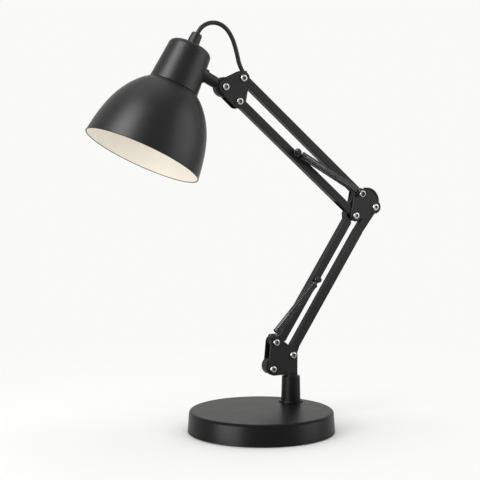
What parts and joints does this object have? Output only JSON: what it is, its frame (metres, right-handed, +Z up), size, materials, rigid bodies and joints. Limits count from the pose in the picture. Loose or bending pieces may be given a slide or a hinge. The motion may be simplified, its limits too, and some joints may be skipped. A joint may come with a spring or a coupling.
{
  "type": "articulated desk lamp",
  "caption": "Articulated desk lamp: round weighted base, sprung parallel arms with plate joints, and a tilting bell shade with a rear socket cap.",
  "frame": {"origin": "centre of the base's underside, where it stands on the desk", "axes": "+Z up; +X from the shade's side towards the elbow's side, along the plane of the arms; -Y towards the viewer's side of the bracket plates, where the springs are"},
  "size_m": [0.4415, 0.2135, 0.5528],
  "materials": {
    "black_paint": "satin black paint",
    "shade_paint": "satin black paint outside, cream enamel inside",
    "bright_steel": "bright plated steel",
    "spring_steel": "plated spring wire",
    "washer_plastic": "dark nylon",
    "black_plastic": "moulded black plastic",
    "cast_weight": "rough casting",
    "bottom_plate": "painted sheet steel",
    "foot_pad": "fine grained foam rubber",
    "lead_sheath": "smooth black sheath",
    "bulb_glass": "opal glass"
  },
  "bodies": {
    "base": {"base_shell": "black_paint", "base_weight": "cast_weight", "base_plate": "bottom_plate", "base_pad": "foot_pad", "base_screws": "bright_steel", "post_collar": "black_paint", "base_post": "black_paint", "post_bush": "washer_plastic", "post_nut": "bright_steel", "lead_grommet": "black_plastic"},
    "lower_bracket": {"swivel_spindle": "bright_steel", "swivel_block": "black_paint", "lower_plate_front": "black_paint", "lower_plate_rear": "black_paint", "lower_bracket_screws": "bright_steel", "lower_bracket_nuts": "bright_steel", "lower_bracket_washers": "washer_plastic", "lower_anchor_stud": "bright_steel"},
    "lower_front_link": {"lower_front_tube": "black_paint", "lower_front_lug": "black_paint", "lower_front_tongue": "black_paint", "lower_link_stud": "bright_steel"},
    "lower_rear_link": {"lower_rear_tube": "black_paint", "lower_rear_lug": "black_paint", "lower_rear_tongue": "black_paint"},
    "lower_spring": {"lower_spring": "spring_steel", "lower_spring_tail": "spring_steel"},
    "lower_spring_end": {"lower_spring_hook": "spring_steel"},
    "elbow": {"elbow_plate_front": "black_paint", "elbow_plate_rear": "black_paint", "elbow_screws": "bright_steel", "elbow_nuts": "bright_steel", "elbow_washers": "washer_plastic", "elbow_guard": "black_paint"},
    "upper_top_link": {"upper_top_tube": "black_paint", "upper_top_bush": "washer_plastic"},
    "upper_bottom_link": {"upper_bottom_tube": "black_paint", "upper_bottom_bush": "washer_plastic", "upper_link_stud": "bright_steel"},
    "upper_spring": {"upper_spring": "spring_steel", "upper_spring_tail": "spring_steel"},
    "upper_spring_end": {"upper_spring_hook": "spring_steel"},
    "head_bracket": {"head_plate_front": "black_paint", "head_plate_rear": "black_paint", "head_bracket_screws": "bright_steel", "head_bracket_nuts": "bright_steel", "tilt_washers": "washer_plastic", "cable_bush": "black_plastic", "lead_bracket_half": "lead_sheath"},
    "head_knuckle": {"head_knuckle": "black_paint", "shade_stem": "black_paint", "stem_nut": "bright_steel"},
    "shade": {"shade_bell": "shade_paint", "shade_cap": "shade_paint", "stem_boss": "shade_paint", "cord_gland": "black_plastic", "lampholder": "black_plastic", "lampholder_ring": "black_plastic", "bulb": "bulb_glass", "lead_gland_half": "lead_sheath"}
  },
  "joints": [
    {"name": "base_swivel", "type": "hinge", "parent": "base", "child": "lower_bracket", "pos_m": [0.0655, 0.033, 0.066], "axis": [0, 0, 1], "range_deg": [-170, 170]},
    {"name": "lower_arm_tilt", "type": "hinge", "parent": "lower_bracket", "child": "lower_front_link", "pos_m": [0.0373, 0.033, 0.1151], "axis": [0, -1, 0], "range_deg": [-18, 16]},
    {"name": "lower_rear_pivot", "type": "hinge", "parent": "lower_bracket", "child": "lower_rear_link", "pos_m": [0.0643, 0.033, 0.0955], "axis": [0, -1, 0], "range_deg": [-18.3, 16.3]},
    {"name": "elbow_level", "type": "hinge", "parent": "lower_front_link", "child": "elbow", "pos_m": [0.17324, 0.033, 0.31893], "axis": [0, -1, 0], "range_deg": [-16.3, 18.3]},
    {"name": "lower_spring_pivot", "type": "hinge", "parent": "lower_bracket", "child": "lower_spring", "pos_m": [0.0284, 0.033, 0.1243], "axis": [0, -1, 0], "range_deg": [-18.33, 16.33]},
    {"name": "lower_spring_stretch", "type": "slide", "parent": "lower_spring", "child": "lower_spring_end", "axis": [0.6925, 0, 0.7215], "range_m": [-0.00369, 0.00412], "deforming": ["lower_spring"]},
    {"name": "upper_arm_tilt", "type": "hinge", "parent": "elbow", "child": "upper_top_link", "pos_m": [0.17324, 0.033, 0.31893], "axis": [0, -1, 0], "range_deg": [-20, 18]},
    {"name": "upper_bottom_pivot", "type": "hinge", "parent": "elbow", "child": "upper_bottom_link", "pos_m": [0.16734, 0.033, 0.28783], "axis": [0, -1, 0], "range_deg": [-20.3, 18.3]},
    {"name": "head_level", "type": "hinge", "parent": "upper_top_link", "child": "head_bracket", "pos_m": [-0.01389, 0.033, 0.47707], "axis": [0, -1, 0], "range_deg": [-18.3, 20.3]},
    {"name": "upper_spring_pivot", "type": "hinge", "parent": "elbow", "child": "upper_spring", "pos_m": [0.17324, 0.033, 0.31893], "axis": [0, -1, 0], "range_deg": [-22.01, 19.84]},
    {"name": "upper_spring_stretch", "type": "slide", "parent": "upper_spring", "child": "upper_spring_end", "axis": [-0.8743, 0, 0.4854], "range_m": [-0.01037, 0.00935], "deforming": ["upper_spring", "upper_spring_hook"]},
    {"name": "head_tilt", "type": "hinge", "parent": "head_bracket", "child": "head_knuckle", "pos_m": [-0.04104, 0.033, 0.46477], "axis": [0, -1, 0], "range_deg": [-35, 35], "deforming": ["lead_bracket_half"]},
    {"name": "shade_swivel", "type": "hinge", "parent": "head_knuckle", "child": "shade", "pos_m": [-0.04104, 0.033, 0.46477], "axis": [-0.8942, 0, 0.4478], "range_deg": [-40, 40], "deforming": ["lead_gland_half"]}
  ],
  "couplings": [
    {"joint": "lower_rear_pivot", "follows": "lower_arm_tilt", "ratio": 1},
    {"joint": "elbow_level", "follows": "lower_arm_tilt", "ratio": -1},
    {"joint": "lower_spring_pivot", "follows": "lower_arm_tilt", "ratio": 1.0017},
    {"joint": "lower_spring_stretch", "follows": "lower_arm_tilt", "m_per_rad": -0.012485},
    {"joint": "upper_bottom_pivot", "follows": "upper_arm_tilt", "ratio": 1},
    {"joint": "head_level", "follows": "upper_arm_tilt", "ratio": -1},
    {"joint": "upper_spring_pivot", "follows": "upper_arm_tilt", "ratio": 1.0856},
    {"joint": "upper_spring_stretch", "follows": "upper_arm_tilt", "m_per_rad": 0.029133}
  ]
}
